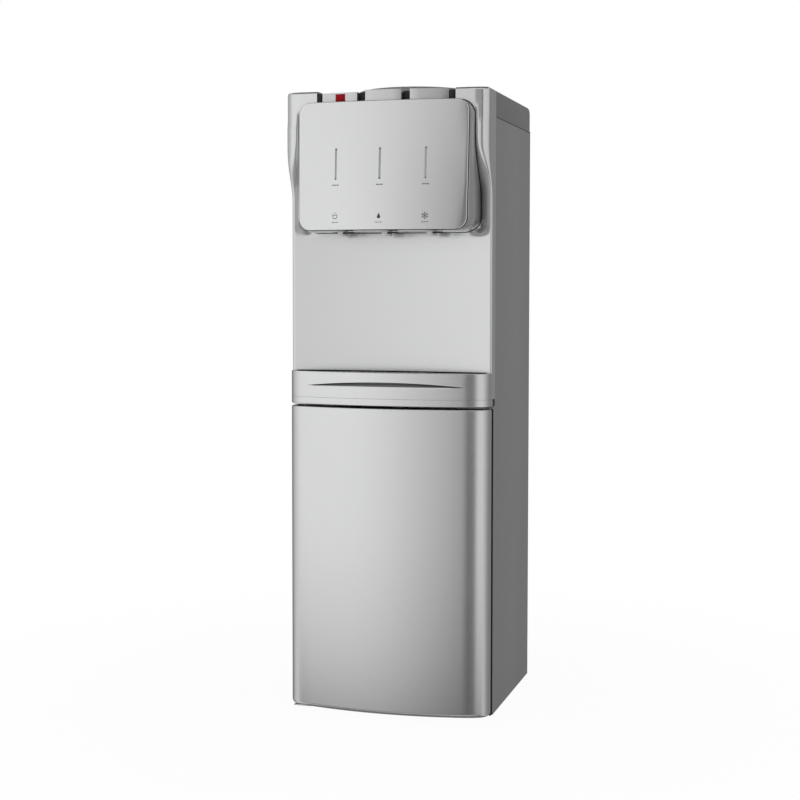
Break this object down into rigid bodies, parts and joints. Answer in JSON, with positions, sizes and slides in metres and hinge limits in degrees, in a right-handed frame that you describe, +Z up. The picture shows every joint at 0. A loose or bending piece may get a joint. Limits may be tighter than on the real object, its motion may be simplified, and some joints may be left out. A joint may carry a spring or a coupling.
{
  "type": "bottled water dispenser",
  "caption": "Free-standing bottled water dispenser: bowed control head with push keys over hot, room and cold taps, a pull-out drip tray and a storage cabinet behind a bowed door.",
  "frame": {"origin": "floor level under the centre of the bounding box", "axes": "+Z up, the door, tray and taps face -Y, +X to the right of someone facing the machine"},
  "size_m": [0.31, 0.3416, 0.944],
  "materials": {
    "base_plate": "galvanised",
    "foot_front_left": "matt",
    "foot_front_right": "matt",
    "foot_rear_left": "matt",
    "foot_rear_right": "matt",
    "side_panel_left": "satin grey paint",
    "side_panel_right": "satin grey paint",
    "back_panel": "galvanised",
    "cross_bar": "satin silver paint",
    "front_frame": "satin silver paint",
    "top_cover": "satin grey paint",
    "bottle_collar": "satin grey",
    "bottle_probe": "natural",
    "cabinet_liner": "white",
    "cabinet_shelf": "white",
    "mid_deck": "galvanised",
    "tank_shelf": "galvanised",
    "control_housing": "satin silver paint",
    "control_plate": "satin silver paint",
    "indicator_hot": "smoked",
    "indicator_normal": "smoked",
    "indicator_cold": "smoked",
    "key_bay": "black",
    "key_hot": "satin silver paint",
    "key_normal": "satin silver paint",
    "key_cold": "satin silver paint",
    "child_lock": "deep red",
    "valve_rod_hot": "natural",
    "valve_rod_normal": "natural",
    "valve_rod_cold": "natural",
    "tap_hot": "natural",
    "tap_normal": "natural",
    "tap_cold": "natural",
    "cold_tank": "stainless",
    "tank_insulation": "foam",
    "evaporator_coil": "copper",
    "hot_tank": "stainless",
    "heater_band": "plain",
    "feed_pipe": "copper",
    "hot_hose": "silicone",
    "normal_hose": "silicone",
    "cold_hose": "silicone",
    "compressor": "black paint",
    "condenser_coil": "black paint",
    "condenser_rail_left": "black paint",
    "condenser_rail_right": "black paint",
    "drain_outlet": "natural",
    "drain_cap": "black",
    "door_skin": "satin silver paint",
    "door_liner": "white",
    "door_gasket": "matt",
    "hinge_bracket_top": "zinc plated",
    "hinge_bracket_bottom": "zinc plated",
    "drip_tray": "satin silver paint",
    "drip_grille": "black",
    "switch_panel": "black",
    "rocker_hot": "red",
    "rocker_cold": "green",
    "power_inlet": "black"
  },
  "bodies": {
    "cabinet": {"base_plate": "base_plate", "foot_front_left": "foot_front_left", "foot_front_right": "foot_front_right", "foot_rear_left": "foot_rear_left", "foot_rear_right": "foot_rear_right", "side_panel_left": "side_panel_left", "side_panel_right": "side_panel_right", "back_panel": "back_panel", "cross_bar": "cross_bar", "front_frame": "front_frame", "top_cover": "top_cover", "bottle_collar": "bottle_collar", "bottle_probe": "bottle_probe", "cabinet_liner": "cabinet_liner", "cabinet_shelf": "cabinet_shelf", "mid_deck": "mid_deck", "tank_shelf": "tank_shelf", "control_housing": "control_housing", "control_plate": "control_plate", "indicator_hot": "indicator_hot", "indicator_normal": "indicator_normal", "indicator_cold": "indicator_cold", "key_bay": "key_bay", "tap_hot": "tap_hot", "tap_normal": "tap_normal", "tap_cold": "tap_cold", "cold_tank": "cold_tank", "tank_insulation": "tank_insulation", "evaporator_coil": "evaporator_coil", "hot_tank": "hot_tank", "heater_band": "heater_band", "feed_pipe": "feed_pipe", "hot_hose": "hot_hose", "normal_hose": "normal_hose", "cold_hose": "cold_hose", "compressor": "compressor", "condenser_coil": "condenser_coil", "condenser_rail_left": "condenser_rail_left", "condenser_rail_right": "condenser_rail_right", "drain_outlet": "drain_outlet", "hinge_bracket_top": "hinge_bracket_top", "hinge_bracket_bottom": "hinge_bracket_bottom", "switch_panel": "switch_panel", "power_inlet": "power_inlet"},
    "door": {"door_skin": "door_skin", "door_liner": "door_liner", "door_gasket": "door_gasket"},
    "tray": {"drip_tray": "drip_tray"},
    "grille": {"drip_grille": "drip_grille"},
    "hot_key": {"key_hot": "key_hot"},
    "normal_key": {"key_normal": "key_normal"},
    "cold_key": {"key_cold": "key_cold"},
    "lock_slider": {"child_lock": "child_lock"},
    "hot_rod": {"valve_rod_hot": "valve_rod_hot"},
    "normal_rod": {"valve_rod_normal": "valve_rod_normal"},
    "cold_rod": {"valve_rod_cold": "valve_rod_cold"},
    "hot_switch": {"rocker_hot": "rocker_hot"},
    "cold_switch": {"rocker_cold": "rocker_cold"},
    "cap": {"drain_cap": "drain_cap"}
  },
  "joints": [
    {"name": "door_hinge", "type": "hinge", "parent": "cabinet", "child": "door", "pos_m": [-0.144, -0.11105, 0.208], "axis": [0, 0, 1], "range_deg": [-100, 0]},
    {"name": "tray_slide", "type": "slide", "parent": "cabinet", "child": "tray", "axis": [0, -1, 0], "range_m": [0, 0.085]},
    {"name": "grille_lift", "type": "slide", "parent": "tray", "child": "grille", "axis": [0, 0, 1], "range_m": [0, 0.05]},
    {"name": "hot_key_hinge", "type": "hinge", "parent": "cabinet", "child": "hot_key", "pos_m": [0, -0.07665, 0.9235], "axis": [1, 0, 0], "range_deg": [0, 5], "stiffness_Nm_per_rad": 2, "springref_deg": -3.44},
    {"name": "hot_rod_slide", "type": "slide", "parent": "cabinet", "child": "hot_rod", "axis": [0, 0, -1], "range_m": [0, 0.0042]},
    {"name": "normal_key_hinge", "type": "hinge", "parent": "cabinet", "child": "normal_key", "pos_m": [0, -0.07665, 0.926], "axis": [1, 0, 0], "range_deg": [0, 5], "stiffness_Nm_per_rad": 2, "springref_deg": -3.44},
    {"name": "normal_rod_slide", "type": "slide", "parent": "cabinet", "child": "normal_rod", "axis": [0, 0, -1], "range_m": [0, 0.0042]},
    {"name": "cold_key_hinge", "type": "hinge", "parent": "cabinet", "child": "cold_key", "pos_m": [0, -0.07665, 0.926], "axis": [1, 0, 0], "range_deg": [0, 5], "stiffness_Nm_per_rad": 2, "springref_deg": -3.44},
    {"name": "cold_rod_slide", "type": "slide", "parent": "cabinet", "child": "cold_rod", "axis": [0, 0, -1], "range_m": [0, 0.0042]},
    {"name": "lock_slide", "type": "slide", "parent": "hot_key", "child": "lock_slider", "axis": [0, 1, 0], "range_m": [0, 0.003], "stiffness_N_per_m": 300, "springref_m": -0.003},
    {"name": "hot_switch_rock", "type": "hinge", "parent": "cabinet", "child": "hot_switch", "pos_m": [0.044, 0.16075, 0.853], "axis": [1, 0, 0], "range_deg": [-8, 0]},
    {"name": "cold_switch_rock", "type": "hinge", "parent": "cabinet", "child": "cold_switch", "pos_m": [0.066, 0.16075, 0.853], "axis": [1, 0, 0], "range_deg": [-8, 0]},
    {"name": "cap_unscrew", "type": "slide", "parent": "cabinet", "child": "cap", "axis": [0, 1, 0], "range_m": [0, 0.02]}
  ],
  "couplings": [
    {"joint": "hot_rod_slide", "follows": "hot_key_hinge", "m_per_rad": 0.0474},
    {"joint": "normal_rod_slide", "follows": "normal_key_hinge", "m_per_rad": 0.0474},
    {"joint": "cold_rod_slide", "follows": "cold_key_hinge", "m_per_rad": 0.0474}
  ]
}
